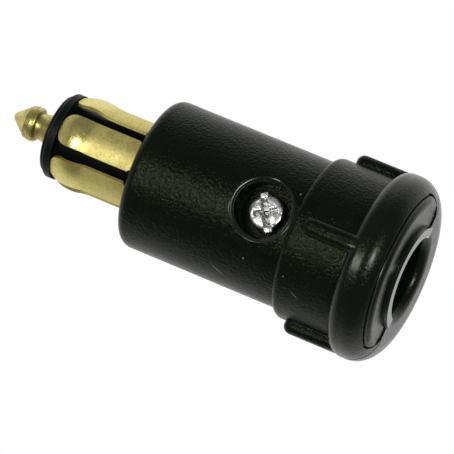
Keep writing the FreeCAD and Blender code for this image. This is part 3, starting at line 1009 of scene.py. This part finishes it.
def room_brightness(tree, lean):
    """The grey of the room, by how far a direction leans to the camera."""
    ramp = node(tree, "ShaderNodeValToRGB")
    while len(ramp.color_ramp.elements) < len(ROOM_STOPS):
        ramp.color_ramp.elements.new(0.5)
    for element, (position, bright) in zip(ramp.color_ramp.elements, ROOM_STOPS):
        element.position = position
        element.color = (bright, bright, bright, 1)
    tree.links.new(ranged(tree, lean, (-1, 1), (0, 1)), ramp.inputs["Fac"])
    return ramp.outputs["Color"]


def add_world(up, back):
    """A pale room, white behind the plug, darker in front of it and a little darker below."""
    world = bpy.data.worlds.new("Pale room")
    world.use_nodes = True
    tree = world.node_tree
    tree.nodes.clear()
    place = node(tree, "ShaderNodeTexCoord")
    leans = []
    for axis in (back, up):
        lean = node(tree, "ShaderNodeVectorMath", operation="DOT_PRODUCT")
        lean.inputs[1].default_value = axis
        tree.links.new(place.outputs["Generated"], lean.inputs[0])
        leans.append(lean.outputs["Value"])
    room = node(tree, "ShaderNodeBackground")
    room.inputs["Color"].default_value = ROOM_GREY
    ray = node(tree, "ShaderNodeLightPath").outputs
    camera = ray["Is Camera Ray"]
    backdrop = node(tree, "ShaderNodeBackground")
    grey = blended(tree, camera, room_brightness(tree, leans[0]), (1, 1, 1))
    tree.links.new(grey, backdrop.inputs["Color"])
    above = ranged(tree, leans[1], (-1, 1), ROOM_BELOW_ABOVE)
    tree.links.new(math_node(tree, "MAXIMUM", camera, above), backdrop.inputs["Strength"])
    shiny = math_node(tree, "MAXIMUM", ray["Is Glossy Ray"], ray["Is Transmission Ray"])
    either = node(tree, "ShaderNodeMixShader")
    tree.links.new(math_node(tree, "MAXIMUM", camera, shiny), either.inputs["Fac"])
    tree.links.new(room.outputs[0], either.inputs[1])
    tree.links.new(backdrop.outputs[0], either.inputs[2])
    put = node(tree, "ShaderNodeOutputWorld")
    tree.links.new(either.outputs[0], put.inputs["Surface"])
    bpy.context.scene.world = world


# Half the floor's length in metres, and its own glow, which keeps it white away from the lamps
FLOOR_REACH = 2.5
FLOOR_GLOW = 0.55


def floor_paint(colour):
    """A pale matt paint that is seen from above and lets the light from below through."""
    material = bpy.data.materials.new("Floor")
    material.use_nodes = True
    tree = material.node_tree
    tree.nodes.clear()
    matt = node(tree, "ShaderNodeBsdfDiffuse")
    matt.inputs["Color"].default_value = (*colour, 1)
    glow = node(tree, "ShaderNodeEmission")
    glow.inputs["Strength"].default_value = FLOOR_GLOW
    pale = node(tree, "ShaderNodeAddShader")
    tree.links.new(matt.outputs[0], pale.inputs[0])
    tree.links.new(glow.outputs[0], pale.inputs[1])
    clear = node(tree, "ShaderNodeBsdfTransparent")
    side = node(tree, "ShaderNodeNewGeometry")
    either = node(tree, "ShaderNodeMixShader")
    tree.links.new(side.outputs["Backfacing"], either.inputs["Fac"])
    tree.links.new(pale.outputs[0], either.inputs[1])
    tree.links.new(clear.outputs[0], either.inputs[2])
    put = node(tree, "ShaderNodeOutputMaterial")
    tree.links.new(either.outputs[0], put.inputs["Surface"])
    return material


def add_floor(colour, base):
    """A floor under the plug, which only the camera sees."""
    shape = bmesh.new()
    low = Matrix.Translation((0, 0, base))
    bmesh.ops.create_grid(shape, x_segments=1, y_segments=1, size=FLOOR_REACH, matrix=low)
    data = bpy.data.meshes.new("Floor")
    shape.to_mesh(data)
    shape.free()
    data.materials.append(floor_paint(colour))
    floor = bpy.data.objects.new("Floor", data)
    bpy.context.scene.collection.objects.link(floor)
    floor.visible_diffuse = False
    floor.visible_glossy = False
    floor.visible_transmission = False
    floor.visible_shadow = False


# Distance of the lamps from what they light, in metres
LAMP_DISTANCE = 0.5

# Each lamp's size in metres, and its direction along the picture's right, up and the way back
KEY_SIZE = 0.13
KEY_DIRECTION = (-0.467, 0.074, 0.88)
FILL_SIZE = 0.1
FILL_DIRECTION = (0.36, -0.06, 0.925)

# How far towards the pin the key lamp's aim lies from the plug's middle, in metres
KEY_SHIFT = Vector((0, 0, 0.03))


def add_lamp(name, direction, size, power, aim):
    """A soft square lamp that looks at a point."""
    data = bpy.data.lights.new(name, "AREA")
    data.shape = "SQUARE"
    data.size = size
    data.energy = power
    lamp = bpy.data.objects.new(name, data)
    lamp.location = aim + direction * LAMP_DISTANCE
    lamp.rotation_euler = (-direction).to_track_quat("-Z", "Y").to_euler()
    bpy.context.scene.collection.objects.link(lamp)


class PLUG_OT_stage(bpy.types.Operator):
    """Set the floor, the light and the camera"""

    bl_idname = "plug.stage"
    bl_label = "Stage"

    def execute(self, context):
        stage = context.scene.plug_stage
        right, up, back = add_camera(stage)
        add_world(up, back)
        add_floor(tuple(stage.floor_colour), cad_box[0].z)
        picture = Matrix((right, up, back)).transposed()
        key, fill = (
            (picture @ Vector(way)).normalized() for way in (KEY_DIRECTION, FILL_DIRECTION)
        )
        aim = (cad_box[0] + cad_box[1]) / 2
        add_lamp("Key", key, KEY_SIZE, stage.key_power, aim + KEY_SHIFT)
        add_lamp("Fill", fill, FILL_SIZE, stage.fill_power, aim)
        context.scene.view_settings.view_transform = "Standard"
        return {"FINISHED"}


class PLUG_PT_sidebar(bpy.types.Panel):
    """Lists the plug's finishes, sizes and stage, and the steps that make it"""

    bl_idname = "PLUG_PT_sidebar"
    bl_label = "Plug"
    bl_space_type = "VIEW_3D"
    bl_region_type = "UI"
    bl_category = "Plug"

    def draw(self, context):
        scene = context.scene
        for group in (scene.plug_finishes, scene.plug_screw, scene.plug_stage):
            for name in group.__annotations__:
                self.layout.prop(group, name)
        for operator in operators:
            self.layout.operator(operator.bl_idname)


operators = (PLUG_OT_housing, PLUG_OT_nose, PLUG_OT_contacts, PLUG_OT_screws, PLUG_OT_stage)
classes = (PlugFinishes, PlugScrew, PlugStage, *operators, PLUG_PT_sidebar)


def register():
    """Adds the classes, and their values to the scene."""
    for cls in classes:
        bpy.utils.register_class(cls)
    bpy.types.Scene.plug_finishes = bpy.props.PointerProperty(type=PlugFinishes)
    bpy.types.Scene.plug_screw = bpy.props.PointerProperty(type=PlugScrew)
    bpy.types.Scene.plug_stage = bpy.props.PointerProperty(type=PlugStage)


def unregister():
    """Takes out what register added."""
    del bpy.types.Scene.plug_stage
    del bpy.types.Scene.plug_screw
    del bpy.types.Scene.plug_finishes
    for cls in reversed(classes):
        bpy.utils.unregister_class(cls)


def main():
    """Makes the dressed plug and its stage."""
    register()
    bpy.ops.plug.housing()
    bpy.ops.plug.nose()
    bpy.ops.plug.contacts()
    bpy.ops.plug.screws()
    bpy.ops.plug.stage()


if __name__ == "__main__":
    main()
